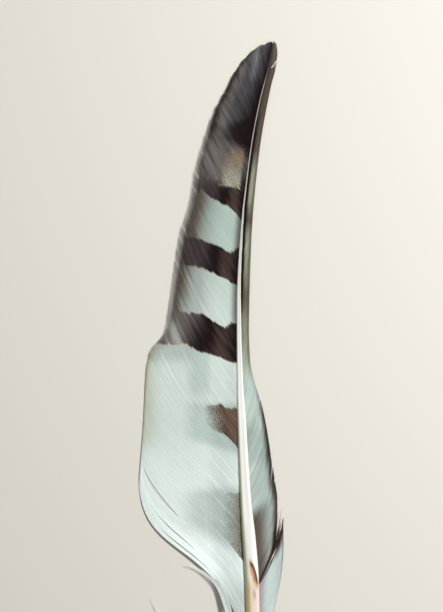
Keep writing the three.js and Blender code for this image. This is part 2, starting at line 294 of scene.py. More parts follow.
def new_material(name):
    """A material, with functions that add a node, mix two colours and set its surface shader."""
    material = bpy.data.materials.new(name)
    material.use_nodes = True
    tree = material.node_tree

    def set_inputs(node, inputs):
        """Each input is given a value, or the socket of another node that it is linked to."""
        for key, value in inputs.items():
            if isinstance(value, bpy.types.NodeSocket):
                tree.links.new(value, node.inputs[key])
            else:
                node.inputs[key].default_value = value

    def add(kind, inputs, **settings):
        node = tree.nodes.new("ShaderNode" + kind)
        for setting, value in settings.items():
            setattr(node, setting, value)
        set_inputs(node, inputs)
        return node.outputs

    def mix(blend_type, amount, a, b):
        inputs = {"Factor": amount, "A": a, "B": b}
        return add("Mix", inputs, data_type="RGBA", blend_type=blend_type)["Result"]

    def set_surface(inputs):
        set_inputs(tree.nodes["Principled BSDF"], inputs)

    return material, add, mix, set_surface


shaft_keratin, add, mix, set_surface = new_material("shaft_keratin")
tint = add("Attribute", {}, attribute_name="tint")
place = add("TexCoord", {})
stretched = add("Mapping", {"Vector": place["Object"], "Scale": (1, 0.06, 1)})
grain = add("TexNoise", {"Vector": stretched["Vector"], "Scale": 1600, "Detail": 4})
grained = mix("MULTIPLY", 0.16, tint["Color"], grain["Fac"])
bump = add("Bump", {"Strength": 0.12, "Distance": 0.0002, "Height": grain["Fac"]})
set_surface({
    "Base Color": grained,
    "Normal": bump["Normal"],
    "Roughness": 0.45,
    "Coat Weight": 0.04,
})
shaft.data.materials.append(shaft_keratin)
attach(shaft, "root")
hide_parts("feather")

# The inner vane: the wide web on the left, of some six hundred barbs that grow from the shaft's side and
# hook together in overlapping locks. It steps in towards the tip. Dark bars cross the pale ground, and each
# barb carries its own bit of every bar, so the bars have ragged edges.
ROOT_DEPTH = 0.26
# Barbs up the vane: how far up the root is, the tip's place, and how many degrees the barb leans outwards
# at its root and at its tip
INNER_BARBS = [
    (-46, INNER_REACH, 51.4, 11, 0), (-23, -58.6, 62, 17, 2), (0, -57.8, 71.6, 27, 3),
    (18.6, -56.7, 90.1, 35, 5), (37.1, -55.9, 107.6, 37, 10), (45.1, -54.6, 116.1, 38, 14),
    (51.4, -53.0, 120.3, 38, 16), (56.7, -49.3, 124.0, 37, 18), (63.6, -45.3, 129.3, 36, 18),
    (71.6, -42.7, 136.2, 35, 18), (84.8, -40.8, 145.8, 35, 18), (106, -38.2, 162.7, 35, 18),
    (132.5, -34.7, 182.3, 34, 18), (156.4, -29.7, 198.8, 33, 20), (177.6, -26.8, 216.8, 32, 22),
    (196.1, -23.3, 230.6, 31, 22), (214.7, -19.6, 245.4, 30, 22), (229.5, -13.8, 257.1, 26, 20),
    (243, -6.9, 269.8, 21, 17), (256.5, 1.1, 278.3, 15, 12), (268.5, 6.9, 281.8, 9, 7),
    (278.3, 11.4, TIP_END, 2, 2),
]
# How long a barb keeps to its lean at its root and at its tip, as shares of its length
INNER_HANDLES = [(-46, 0.63, 0.41), (-23, 0.46, 0.36), (0, 0.36, 0.32), (20, 0.31, 0.31)]
# How high the margin is curled up
INNER_CURL = [
    (-50, 3.2), (-20, 2.2), (FLAT_FROM, 0), (FLAT_TO, 0), (141, 2.7), (205, 2.6), (231, 2.0), (248, 0.5),
    (TIP_END, 0.1),
]
INNER_SPLITS = [
    {"root": -41, "from": 0.3, "to": 0.72, "wide": 0.5},
    {"root": -32, "from": 0.42, "to": 0.76, "wide": 0.45},
    {"root": -14, "from": 0.56, "to": 0.9, "wide": 2.2},
    {"root": 177.6, "from": 0.68, "to": 1.04, "wide": 0.6},
]
SPLIT_SPREAD = 3
# How much deeper the notches between the locks are, at two places up the vane
INNER_NOTCHES = [(190, 1), (215, 2.6)]
INNER_LOW_LIFT = 0.9
LOW_LIFT_AT = (-20, -44)
INNER_LOCKS = 34
INNER_COUNT = 620
INNER_STEPS = 24
LOCK_UNEVEN = 0.5
LOCK_LIFT = 0.12
LOCK_LEVELS = 0.4
LOCK_NOTCH = 0.25
LOCK_CLUMP = 0.16
LOCK_HEART = 0.72
NOTCH_LEAST = 0.4
NOTCH_END = 0.3
NOTCH_SLANT = 0.2
RAGGED = 0.25
LONGEST_CUT = 0.25
FLANK_SHARE = 0.55
INNER_SLOPE = 18
BARB_BED = 0.45
BARB_SINK = 0.22
BARB_UNEVEN = 0.05
BARB_OVERLAP = 0.62
BARB_HEIGHT = 0.3
BARB_THINS = 0.5
BARB_LEAST = 0.1
BARB_TAPER = 0.55
TAPER_FROM = 0.9


def random_along(keys, size, seed):
    """A smooth unevenness from -1 to 1 that changes over about the given size."""
    values = np.random.default_rng(seed).uniform(-1, 1, 4096)
    place = np.asarray(keys, float) / size + 1000
    i = np.floor(place).astype(int)
    t = place - i
    t = t * t * (3 - 2 * t)
    return values[i % 4096] * (1 - t) + values[(i + 1) % 4096] * t


def on_flank(x, y, slope):
    """How much higher a barb lies near the shaft, where it comes down from the shaft's flank."""
    middle, width = np.moveaxis(shaft_at(y), -1, 0)
    away = np.clip(np.abs(x - middle) - width / 2, 0, None)
    return FLANK_SHARE * shaft_depth(width) * (1 - smooth_step(0, slope, away))


def barb_field(side, barbs, handles, curl, slope, count, steps, locks, splits, notches, low_lift, seed):
    """The middle lines of a vane's barbs, with the room that each has and its place across the vane."""
    barb_at, handle_at, curl_at = through(barbs), through(handles), through(curl)
    first, last = barbs[0][0], barbs[-1][0]
    roots = np.linspace(first, last, count)
    gaps = 1 + LOCK_UNEVEN * (np.random.default_rng(seed).random(locks) - 0.5)
    starts = first + (last - first) * np.concatenate([[0], np.cumsum(gaps)]) / gaps.sum()
    lock = np.clip(np.searchsorted(starts, roots, side="right") - 1, 0, locks - 1)
    within = (roots - starts[lock]) / (starts[lock + 1] - starts[lock])

    def plan(keys, shares):
        """Each barb as a curve with a handle at either end."""
        tip_x, tip_y, root_lean, tip_lean = barb_at(keys).T
        middle, width = shaft_at(keys).T
        root = np.stack([middle + side * ROOT_DEPTH * width, keys], axis=1)
        tip = np.stack([tip_x, tip_y], axis=1)
        reaches = handle_at(keys) * np.linalg.norm(tip - root, axis=1, keepdims=True)
        leans = np.radians(np.stack([root_lean, tip_lean]))
        headings = np.stack([side * np.sin(leans), np.cos(leans)], axis=2)
        leave, arrive = headings * reaches.T[..., None]
        t = shares[..., None]
        p0, p1, p2, p3 = (p[:, None] for p in (root, root + leave, tip - arrive, tip))
        return (1 - t) ** 3 * p0 + 3 * t * (1 - t) ** 2 * p1 + 3 * t * t * (1 - t) * p2 + t**3 * p3

    rng = np.random.default_rng(seed + 10)
    share = np.linspace(0, 1, steps + 1)[None]
    length = np.linalg.norm(np.diff(plan(roots, share), axis=1), axis=2).sum(1)
    notch = LOCK_NOTCH * (NOTCH_LEAST + rng.random(locks))[lock] * np.interp(roots, *zip(*notches))
    past_notch = (within - NOTCH_END) / (1 - NOTCH_END)
    cut = np.where(past_notch > 0, (2 * past_notch - 1) ** 2, 1 - NOTCH_SLANT * within / NOTCH_END)
    short = notch * cut + RAGGED * rng.random(count)
    shares = share * (1 - np.minimum(short / length, LONGEST_CUT))[:, None]
    flat = plan(roots, shares)
    heart = starts[lock] + LOCK_HEART * (starts[lock + 1] - starts[lock])
    clump = LOCK_CLUMP * rng.random(locks)[lock][:, None] ** 2
    flat += (clump * shares**4)[..., None] * (plan(heart, shares) - flat)
    ahead = np.gradient(flat, axis=1)
    ahead /= np.linalg.norm(ahead, axis=2, keepdims=True)
    sideways = np.stack([ahead[..., 1], -ahead[..., 0]], axis=2)
    beside = (np.gradient(flat, axis=0) * sideways).sum(2)
    onward = sideways * np.sign(beside)[..., None]
    for split in splits:
        after = roots - split["root"]
        open_at = np.clip((shares - split["from"]) / (min(split["to"], 1) - split["from"]), 0, 1)
        leaf = open_at if split["to"] > 1 else np.sin(np.pi * open_at)
        push = split["wide"] / 2 * leaf * (np.sign(after) * np.exp(-np.abs(after) / SPLIT_SPREAD))[:, None]
        flat += onward * push[..., None]
    x, y = np.moveaxis(flat, -1, 0)
    height = bed_height(y) + curl_at(y)[..., 0] * shares**2 + on_flank(x, y, slope)
    height += BARB_BED - BARB_SINK * shares
    height += LOCK_LIFT * within[:, None] * (1 - LOCK_LEVELS * shares)
    height += BARB_UNEVEN * rng.uniform(-1, 1, (count, 1)) * shares
    height += low_lift * smooth_step(*LOW_LIFT_AT, roots)[:, None] * np.sin(np.pi * shares)
    middle = shaft_at(y)[..., 0]
    margin = through([(tip_y, tip_x) for _, tip_x, tip_y, _, _ in barbs])(y)[..., 0]
    return {
        "path": np.stack([x, y, height], axis=2),
        "shares": shares,
        "roots": roots,
        "lock": lock,
        "within": within,
        "spacing": np.abs(beside),
        "across": (x - middle) / (margin - middle),
    }


def along_barbs(path):
    """How far each point is from its barb's root."""
    steps = np.linalg.norm(np.diff(path, axis=1), axis=2)
    return np.concatenate([np.zeros((len(path), 1)), np.cumsum(steps, axis=1)], axis=1)


def keep_vector(mesh, name, values):
    """Keeps three numbers at each vertex as an attribute."""
    layer = mesh.attributes.new(name, "FLOAT_VECTOR", "POINT")
    layer.data.foreach_set("vector", by_vertex(mesh, values).astype(np.float32).ravel())


def barb_object(name, field):
    """Barbs as one piece, each a slender closed bar of diamond section that comes to a point."""
    path, shares = field["path"], field["shares"]
    half_width = np.maximum(field["spacing"] * BARB_OVERLAP, BARB_LEAST)
    half_width *= 1 - BARB_TAPER * smooth_step(TAPER_FROM, 1, shares)
    half_height = BARB_HEIGHT / 2 * (1 - BARB_THINS * shares)
    ahead = np.gradient(path, axis=1)
    ahead /= np.linalg.norm(ahead, axis=2, keepdims=True)
    sideways = np.stack([ahead[..., 1], -ahead[..., 0], np.zeros(shares.shape)], axis=2)
    sideways /= np.linalg.norm(sideways, axis=2, keepdims=True)
    wide = sideways * half_width[..., None]
    high = np.cross(sideways, ahead) * half_height[..., None]
    corners = np.stack([path - wide, path + high, path + wide, path - high], axis=2)
    made = drawn_out(name, corners, smooth=False, closed_foot=True)
    field["along"] = along_barbs(path)
    roots = np.broadcast_to(field["roots"][:, None], shares.shape)
    keep_vector(made.data, "fibre", np.stack([roots, field["along"], shares], axis=2))
    return made


# A bar that begins before the root or ends past the tip is given these places along the barb
BEFORE_ROOT = -50
PAST_TIP = 999
POINTS_A_STEP = 12
# How far a bar's edges wander from barb to barb, over what size, and what is added to their seed
EDGES_WANDER = [(0.8, 1.3, 0), (0.5, 0.4, 7)]


def bar_ends(field, bars):
    """Where along each barb every bar begins and ends, with the raggedness of its edges."""
    path, roots = field["path"], field["roots"]
    t = np.linspace(0, path.shape[1] - 1, (path.shape[1] - 1) * POINTS_A_STEP + 1)
    i = np.minimum(t.astype(int), path.shape[1] - 2)
    points = path[:, i] * (1 - (t - i))[None, :, None] + path[:, i + 1] * (t - i)[None, :, None]
    x, y = points[..., 0], points[..., 1]
    along = along_barbs(points)
    barb = np.arange(len(along))
    begins, ends = [], []
    for number, (lower_edge, upper_edge) in enumerate(bars):
        inside = (y > through(lower_edge)(x)[..., 0]) & (y < through(upper_edge)(x)[..., 0])
        last = inside.shape[1] - 1 - inside[:, ::-1].argmax(1)
        begin = np.where(inside.any(1), along[barb, inside.argmax(1)], BEFORE_ROOT)
        end = np.where(inside.any(1), along[barb, last], BEFORE_ROOT - 10)
        begin = np.where(inside[:, 0], BEFORE_ROOT, begin)
        end = np.where(inside[:, -1], PAST_TIP, end)
        for edge, seed in ((begin, 40 + number), (end, 60 + number)):
            edge += sum(far * random_along(roots, size, seed + more) for far, size, more in EDGES_WANDER)
        begins.append(begin)
        ends.append(end)
    return np.stack(begins, axis=1), np.stack(ends, axis=1)


def keep_bars(mesh, field, bars):
    """Each barb's own bit of six bars, as two sets of three."""
    for name, values in zip(("begin", "end"), bar_ends(field, bars)):
        for part in (0, 1):
            three = values[:, None, part * 3:part * 3 + 3]
            keep_vector(mesh, f"{name}_{part}", np.broadcast_to(three, (*field["shares"].shape, 3)))


# The bars from the tip down, each as its lower and its upper edge, given as (x, y)
INNER_BARS = [
    ([(-40, 200), (-28, 203), (-22, 210), (-15, 210), (-8.5, 205), (-5, 205)], [(-40, 300), (20, 300)]),
    ([(-28, 207), (-24, 202), (-18, 198), (-11.5, 195), (-8, 191.5), (-5, 187.5)],
     [(-28, 210), (-22, 210.5), (-15, 210), (-11.5, 206.5), (-8.5, 205), (-5, 205)]),
    ([(-36, 164.5), (-27.5, 163), (-18, 159), (-11.5, 155.5), (-7.5, 153.5)],
     [(-34, 179), (-26.5, 178), (-24.5, 176.5), (-16, 174), (-11, 170.5), (-8, 173), (-6.5, 173.5)]),
    ([(-50, 122.5), (-36.5, 122.5), (-27, 118.5), (-15.5, 115), (-8.5, 112)],
     [(-41.5, 142.5), (-35.5, 139), (-27.5, 139), (-21.5, 135.5), (-13, 131.5), (-11, 133.5), (-8, 133.5)]),
    ([(-27, 84), (-22, 79), (-18, 76.5), (-14, 74.5), (-10, 71), (-6, 66)],
     [(-27, 89.5), (-16, 90.5), (-13, 88.5), (-6, 88.5)]),
    ([(-20, 38), (-15, 27), (-9, 14), (-4, 8)], [(-20, 39), (-15, 43), (-9, 44), (-4, 44)]),
]
inner = barb_field(
    side=-1, barbs=INNER_BARBS, handles=INNER_HANDLES, curl=INNER_CURL, slope=INNER_SLOPE,
    count=INNER_COUNT, steps=INNER_STEPS, locks=INNER_LOCKS, splits=INNER_SPLITS,
    notches=INNER_NOTCHES, low_lift=INNER_LOW_LIFT, seed=1,
)
inner_vane = barb_object("inner_vane", inner)
keep_bars(inner_vane.data, inner, INNER_BARS)

PALE_FOOT = (244, 252, 249)
QUILL_SHADE = (204, 214, 206)
PALE_LOW = (230, 240, 235)
PALE_MIDDLE = (210, 222, 215)
PALE_HIGH = (176, 191, 182)
SHADE_BLUE = (178, 194, 187)
BAR_BLACK = (24, 11, 10)
# The bars' lighter band is painted sheen; their greys further out are partly own colour, partly painted
# sheen
BAR_SHEEN_BAND = (70, 55, 51)
BAR_GREY_SHEEN = (66, 55, 57)
BAR_BROWN = (112, 92, 79)
BAR_SMOKE_SHEEN = (102, 96, 93)
BAR_FADED = (166, 164, 155)
SPECK_BROWN = (118, 105, 88)
TIP_SLATE = (74, 70, 74)
# Partly the tip's own grey, partly painted sheen
TIP_GREY_SHEEN = (100, 95, 91)
TIP_BROWN = (46, 36, 32)
# Painted sheen: a blue-grey highlight streak on the dark tip
STREAK_SHEEN_BLUE = (122, 128, 130)
WORN_GREY = (150, 144, 134)
MARGIN_GREY = (88, 78, 70)
MARGIN_LINE = (140, 126, 104)
MARGIN_WARM = (192, 194, 170)
MOTTLE_CREAM = (196, 196, 176)
MOTTLE_TAN = (170, 144, 112)
# The ground between the bars, from the pale foot up to the grey margin and the mottled patch below the tip,
# with a painted sheen band near the shaft and painted shadow beside the shaft higher up
INNER_GROUND = [
    (PALE_LOW, 1, ("y", 10, 30)),
    (QUILL_SHADE, 0.7, ("y", 6, -16)),
    (PALE_MIDDLE, 1, ("y", 45, 85)),
    (PALE_HIGH, 1, ("y", 120, 190)),
    (SHADE_BLUE, 0.75, ("x", -38, -28), ("over bar five", 68, 73), ("y", 92, 90)),
    (SHADE_BLUE, 0.6, ("x", -40, -26), ("over bar six", 14, 24), ("under bar six's top", 47, 43)),
    (SHADE_BLUE, 0.65, ("x", -36, -29), ("x", -20, -24), ("y", 90, 100), ("y", 125.01, 125)),
    # Painted sheen: a band of the ground near the shaft made lighter
    (1.12, 1, ("across", 0.06, 0.18), ("across", 0.48, 0.3), ("y", 40, 90)),
    (MARGIN_WARM, 0.5, ("across", 0.8, 0.96), ("y", 62, 76)),
    (MARGIN_GREY, 1, "greying", ("y", 122, 132)),
    # Painted shadow: a thin darker line along the lower margin
    (MARGIN_LINE, 0.7, ("share", 0.975, 0.995), ("y", 130, 110)),
    (MOTTLE_CREAM, 1, ("y", 200, 206), ("x", -27, -22)),
    (MOTTLE_TAN, 1, ("y", 208, 224), ("x", -27, -22)),
    # Black beside the shaft towards the tip: partly the barbs' own dark brown, partly painted shadow of the
    # shaft
    (BAR_BLACK, 0.75, ("from shaft", 3.8, 0.2), ("y", 108, 140)),
    (0.75, 1, ("across", 0.45, 0.6), ("y", 110, 117), ("y", 132, 124)),
]
# The bars are black by the shaft, with a lighter band near it that is painted sheen, and grey further out,
# partly their own grey and partly painted sheen; the two lowest are brown
INNER_MARKS = [
    (BAR_SHEEN_BAND, 1, ("ragged", 0.03, 0.16)),
    (BAR_BLACK, 1, ("ragged", 0.24, 0.38)),
    (BAR_GREY_SHEEN, 1, ("ragged", 0.44, 0.68)),
    (BAR_SMOKE_SHEEN, 1, ("ragged", 0.55, 0.85), ("y", 148, 142)),
    (BAR_FADED, 1, "faded", ("y", 139, 131)),
    (BAR_BROWN, 1, ("y", 100, 92)),
    (SPECK_BROWN, 1, ("y", 60, 50)),
]
# The dark tip: slate, and lighter grey further out that is partly painted sheen, with a darker margin and
# seams, black by the shaft, a blue-grey streak that is painted sheen, and a worn end
TIP_MARKS = [
    (TIP_SLATE, 1, ("y", 226, 238)),
    (TIP_GREY_SHEEN, 0.8, ("ragged", 0.55, 0.75)),
    (TIP_BROWN, 1, ("ragged", 0.8, 0.94), ("y", 224, 238)),
    (TIP_BROWN, 0.7, "seam", ("across", 0.55, 0.85)),
    (BAR_BLACK, 1, ("past black", 0.26, -0.26)),
    (STREAK_SHEEN_BLUE, 0.75, "streak", ("y", 260, 267), ("y", 280, 273)),
    (WORN_GREY, 0.8, ("share", 0.9, 1), ("y", 277, 281)),
]
TIP_FROM = (205, 214)
# How far out from the shaft the black reaches towards the tip, as a share of the vane, at places up it
TIP_BLACK = [
    (219, 0.06), (226, 0.27), (231, 0.62), (236, 0.66), (239, 0.54), (242, 0.32), (252, 0.25), (268, 0.16),
]
# How solid the marks are across the two lowest bars, which break up into specks away from the shaft
BAR_FIVE_COVER = [(-27, 0), (-24, 0.28), (-21, 0.42), (-17.5, 0.57), (-14, 0.72), (-10.7, 0.86), (-8.5, 1)]
BAR_SIX_COVER = [(-17, 0.15), (-13, 0.36), (-10, 0.46), (-7, 0.56), (-5, 0.68)]
BAR_FIVE_TO = 100
BAR_SIX_TO = 60
SOLID_SOFTNESS = 0.3
SPECK_SOFTNESS = 0.8

x, y = inner["path"][..., 0], inner["path"][..., 1]
wander = 0.04 * random_along(inner["roots"], 2.2, 91) + 0.03 * random_along(inner["roots"], 0.6, 92)
ragged = inner["across"] + wander[:, None]
grey_edge = smooth_step(0.68, 0.98, ragged + 0.09 * smooth_step(150, 185, y))
middle, width = np.moveaxis(shaft_at(y), -1, 0)
inner_places = {
    "x": x,
    "y": y,
    "across": inner["across"],
    "share": inner["shares"],
    "ragged": ragged,
    "from shaft": middle - x - width / 2,
    "over bar five": y + 0.3 * x + 8,
    "over bar six": y + 0.5 * x + 9,
    "under bar six's top": y - 0.12 * x - 3,
    "greying": 0.35 * smooth_step(0.42, 0.66, ragged) + 0.65 * grey_edge,
    "faded": spot(ragged + 0.021 * (132 - y), 0.95, 0.1),
    "seam": (spot(inner["within"], 0, 0.12) + spot(inner["within"], 1, 0.08))[:, None],
    "past black": ragged - np.interp(y, *zip(*TIP_BLACK)),
    "streak": spot(x - 0.13 * (y - 266), 1.4, 1.7),
}
ground = washed(linear(PALE_FOOT), INNER_GROUND, inner_places)
marks = washed(linear(BAR_BLACK), INNER_MARKS, inner_places)
marks = blend(marks, washed(linear(TIP_GREY_SHEEN), TIP_MARKS, inner_places), smooth_step(*TIP_FROM, y))
patch = smooth_step(204, 206, y) * smooth_step(234, 221, y)
patch *= smooth_step(0.78, 0.34, ragged) * smooth_step(0.6, 3.4, inner_places["from shaft"])
cover = 1 - (0.44 + 0.07 * smooth_step(216, 208, y)) * patch
softness = SOLID_SOFTNESS + 0.6 * smooth_step(0, 0.4, patch)
five_cover = np.interp(x, *zip(*BAR_FIVE_COVER)) + 0.12 * smooth_step(82, 88, y) * smooth_step(-27, -22, x)
cover = np.where(y < BAR_FIVE_TO, five_cover, cover)
cover = np.where(y < BAR_SIX_TO, np.interp(x, *zip(*BAR_SIX_COVER)), cover)
softness = np.where(y < BAR_FIVE_TO, SPECK_SOFTNESS, softness)

MARKS_UNEVEN = 8
LOCK_TONE = 0.25
# How much the tone changes from root to root, over what size, and what is added to its seed
ROOT_TONES = [(0.3, 3.0, 1), (0.35, 0.5, 2)]
# Along the barbs the tone changes tuft by tuft, each a few barbs wide
TUFT_TONE = 0.35
TUFT_LONG = 5
TUFT_WIDE = 0.9
TUFT_APART = 37


def keep_colours(mesh, field, ground, marks, cover, softness, seed, amount):
    """The ground's and the marks' colours, uneven from barb to barb, and how solid the marks are."""
    roots, along = field["roots"], field["along"]
    locks = np.random.default_rng(seed).uniform(-1, 1, field["lock"].max() + 1)[field["lock"]]
    tone = LOCK_TONE * locks
    for change, size, more in ROOT_TONES:
        tone = tone + change * random_along(roots, size, seed + more)
    tuft = TUFT_APART * np.round(roots / TUFT_WIDE)
    tone = tone[:, None] + TUFT_TONE * random_along(along + tuft[:, None], TUFT_LONG, seed + 3)
    tone = amount * tone[..., None]
    paint(mesh, "ground", ground * (1 + tone))
    paint(mesh, "marks", marks * (1 + MARKS_UNEVEN * tone).clip(0.2))
    keep_vector(mesh, "cover", np.stack([cover, softness, np.zeros(cover.shape)], axis=2))


inner_uneven = 0.07 + 0.08 * smooth_step(25, -5, y)[..., None]
keep_colours(inner_vane.data, inner, ground, marks, cover, softness, 5, inner_uneven)

# The vane's keratin: each bar shows between its two ends on a barb, breaks up into specks where it is thin,
# and has a warm fringe at its edges. A grain is how many grains lie in a millimetre across and along barbs.
EDGE_SOFT = (0.8, 0.8, 0.8)
EDGE_BEFORE = (-0.8, -0.8, -0.8)
SPECK_GRAIN = (1.6, 0.75, 0.0)
BARBULE_GRAIN = (5.0, 2.2, 0.0)
COVER_GAIN = 1.85
FRINGE_GAIN = 3.2
BAR_FRINGE = (0.9, 0.72, 0.58, 1)
SPECK_SPREAD = {"From Min": 0.3, "From Max": 0.7, "To Min": 0.25, "To Max": 0.75}
vane_keratin, add, mix, set_surface = new_material("vane_keratin")


def kept(name):
    return add("Attribute", {}, attribute_name=name)


def vectors(operation, a, b):
    return add("VectorMath", {0: a, 1: b}, operation=operation)


def maths(operation, a, b):
    return add("Math", {0: a, 1: b}, operation=operation, use_clamp=operation == "ADD")["Value"]


def past(value):
    """A soft step for each of three places, whose sockets for vectors are the seventh to the ninth."""
    inputs = {6: value, 7: EDGE_BEFORE, 8: EDGE_SOFT}
    return add("MapRange", inputs, data_type="FLOAT_VECTOR", interpolation_type="SMOOTHSTEP")["Vector"]


fibre = kept("fibre")["Vector"]
along_barb = add("SeparateXYZ", {"Vector": fibre})["Y"]
along_barb = add("CombineXYZ", {"X": along_barb, "Y": along_barb, "Z": along_barb})["Vector"]
masks = []
for part in ("0", "1"):
    begun = past(vectors("SUBTRACT", along_barb, kept("begin_" + part)["Vector"])["Vector"])
    going = past(vectors("SUBTRACT", kept("end_" + part)["Vector"], along_barb)["Vector"])
    within_bar = vectors("MULTIPLY", begun, going)["Vector"]
    masks.append(vectors("DOT_PRODUCT", within_bar, (1.0, 1.0, 1.0))["Value"])
in_bar = maths("ADD", *masks)
speck_place = vectors("MULTIPLY", fibre, SPECK_GRAIN)["Vector"]
specks = add("TexNoise", {"Vector": speck_place, "Scale": 1, "Detail": 3})["Fac"]
specks = add("MapRange", {"Value": specks, **SPECK_SPREAD})["Result"]
solid = add("SeparateXYZ", {"Vector": kept("cover")["Vector"]})
above_specks = maths("SUBTRACT", maths("MULTIPLY", solid["X"], COVER_GAIN), specks)
held = add("MapRange", {"Value": above_specks, "From Min": 0, "From Max": solid["Y"]})["Result"]
shown = maths("MULTIPLY", in_bar, held)
barred = mix("MIX", shown, kept("ground")["Color"], kept("marks")["Color"])
at_edge = maths("MULTIPLY", maths("MULTIPLY", shown, maths("SUBTRACT", 1.0, in_bar)), FRINGE_GAIN)
fringed = mix("MULTIPLY", at_edge, barred, BAR_FRINGE)
barbule_place = vectors("MULTIPLY", fibre, BARBULE_GRAIN)["Vector"]
barbules = add("TexNoise", {"Vector": barbule_place, "Scale": 1, "Detail": 2})["Fac"]
woven = mix("OVERLAY", 0.22, fringed, barbules)
bump = add("Bump", {"Strength": 0.25, "Distance": 0.0001, "Height": barbules})
set_surface({
    "Base Color": woven,
    "Normal": bump["Normal"],
    "Roughness": 0.62,
    "Specular IOR Level": 0.1,
    "Sheen Weight": 0.02,
    "Sheen Roughness": 0.4,
})
inner_vane.data.materials.append(vane_keratin)
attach(inner_vane, "root")
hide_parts("feather")

# The outer vane: the narrow web on the right, of shorter, stiffer barbs that lie close to the shaft. Low
# down it is parted by a long split, and the barbs below the split grow as a group of their own.
OUTER_BARBS = [
    (-6, 13.9, 34, 46, -1), (6.9, 14.0, 40.8, 34, 4), (18.6, 11.7, 55.7, 30, 4), (45.1, 8.5, 76.9, 26, 0),
    (58.3, 6.4, 87.5, 25, 0), (68.9, 4.2, 95.4, 24, -2), (79.5, 1.6, 103.4, 22, -2),
    (92.8, -0.5, 114.0, 20, 2), (111.3, -1.1, 129.9, 18, 4), (156.4, 0.1, 176.0, 20, 7),
    (204.1, 4.2, 222.6, 24, 11), (243.8, 10.6, 259.2, 28, 14), (256, 13.1, 269.2, 30, 14),
    (266.6, 14.0, 276.7, 24, 8), (273, 13.4, 281.3, 16, 2), (278.3, 11.9, TIP_END, 6, -4),
]
OUTER_BASE_BARBS = [
    (-49.3, 12.2, -16.4, 30, 5), (-34.5, 14.8, -6.4, 32, 5), (-21.2, 16.4, 4.8, 35, 4),
    (-12.2, 17.2, 17.0, 38, 3), (-6.5, 17.0, 31.3, 44, 2),
]
OUTER_COUNT = 560
OUTER_BASE_COUNT = 120
OUTER_SLOPE = 10
OUTER_SPLITS = [
    {"root": 66, "from": 0.55, "to": 1.04, "wide": 0.6},
    {"root": 20, "from": 0.55, "to": 1.04, "wide": 0.8},
    {"root": 260, "from": 0.45, "to": 1.06, "wide": 0.5},
]
# What the barbs above and below the long split have in common
OUTER_WAY = {
    "side": 1,
    "handles": [(0, 0.31, 0.31), (20, 0.31, 0.31)],
    "curl": [(-50, 1.4), (FLAT_FROM, 0), (FLAT_TO, 0), (190, 0.6), (TIP_END, 0.1)],
    "slope": OUTER_SLOPE,
    "notches": [(0, 1)],
    "low_lift": 0,
}
OUTER_DARK = (34, 24, 20)
OUTER_OLIVE = (164, 166, 147)
OUTER_EDGE = (98, 86, 74)
OUTER_SLATE = (94, 82, 74)
OUTER_PALE = (194, 208, 200)
OUTER_LOW = (170, 185, 177)
OUTER_BLUE = (204, 216, 212)
OUTER_BROWN = (92, 78, 71)
BASE_MAUVE = (170, 146, 152)
TUFT_BROWN = (68, 50, 40)
OUTER_MARGIN = (56, 42, 38)
# How strong the olive stripe is up the outer vane: faint where a bar crosses it
OLIVE_AT = [
    (112, 1), (134, 0.8), (141, 0.4), (148, 0.3), (157, 0.75), (164, 1), (178, 0.95), (184, 0.55),
    (188, 0.15), (193, 0.5), (199, 1), (212, 1), (220, 0.45), (227, 0.08), (236, 0.1), (250, 0.05),
    (262, 0.05), (276, 0.15),
]
# How far out the dark margin starts, as a share of the vane, at places up it
DARK_MARGIN = [(12, 0.8), (22, 0.84), (36, 0.9), (46, 0.81), (60, 0.84), (92, 0.88)]
# Dark towards the tip with a barred olive stripe, pale lower down, and brown by the shaft at the foot
OUTER_WASHES = [
    (OUTER_SLATE, 1, ("y", 216, 236)),
    (OUTER_DARK, 1, "by shaft"),
    (OUTER_OLIVE, 1, "stripe"),
    (OUTER_PALE, 1, ("below slant", 127, 100)),
    (OUTER_LOW, 1, "low", ("y", 84, 74)),
    (OUTER_MARGIN, 0.95, ("past margin", -0.16, 0.08), ("y", 4, 14), ("y", 104, 84)),
    (OUTER_BROWN, 0.95, "brown", ("brown slant", 37, 29)),
]
# Pale, with a dark margin line, a dark end by the split that is partly dark barbs and partly painted shadow,
# and mauve by the quill that is partly rosy and partly painted shade
OUTER_BASE_WASHES = [
    (OUTER_MARGIN, 1, ("share", 0.8, 0.97), ("y", -12, 6)),
    # Painted shadow of the split, with the dark of the barbs there
    (OUTER_MARGIN, 1, ("onward", 0.88, 1), ("y", 6, 16)),
    # Partly the barbs' rosy colour, partly painted shade beside the quill
    (BASE_MAUVE, 0.8, ("share", 0.34, 0.06)),
]
# Six bars that no barb reaches, because their lower edges are above their upper ones
NO_BARS = [([(-20, 20), (20, 20)], [(-20, 16), (20, 16)])] * 6


def finish_barbs(made, field, ground, seed, uneven):
    """Colours barbs that have no bars, gives them the vane's keratin, fixes them to the root and hides the
    feather's solid.
    """
    keep_bars(made.data, field, NO_BARS)
    none = np.zeros(field["shares"].shape)
    keep_colours(made.data, field, ground, ground, none, none + SOLID_SOFTNESS, seed, uneven)
    made.data.materials.append(vane_keratin)
    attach(made, "root")
    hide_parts("feather")


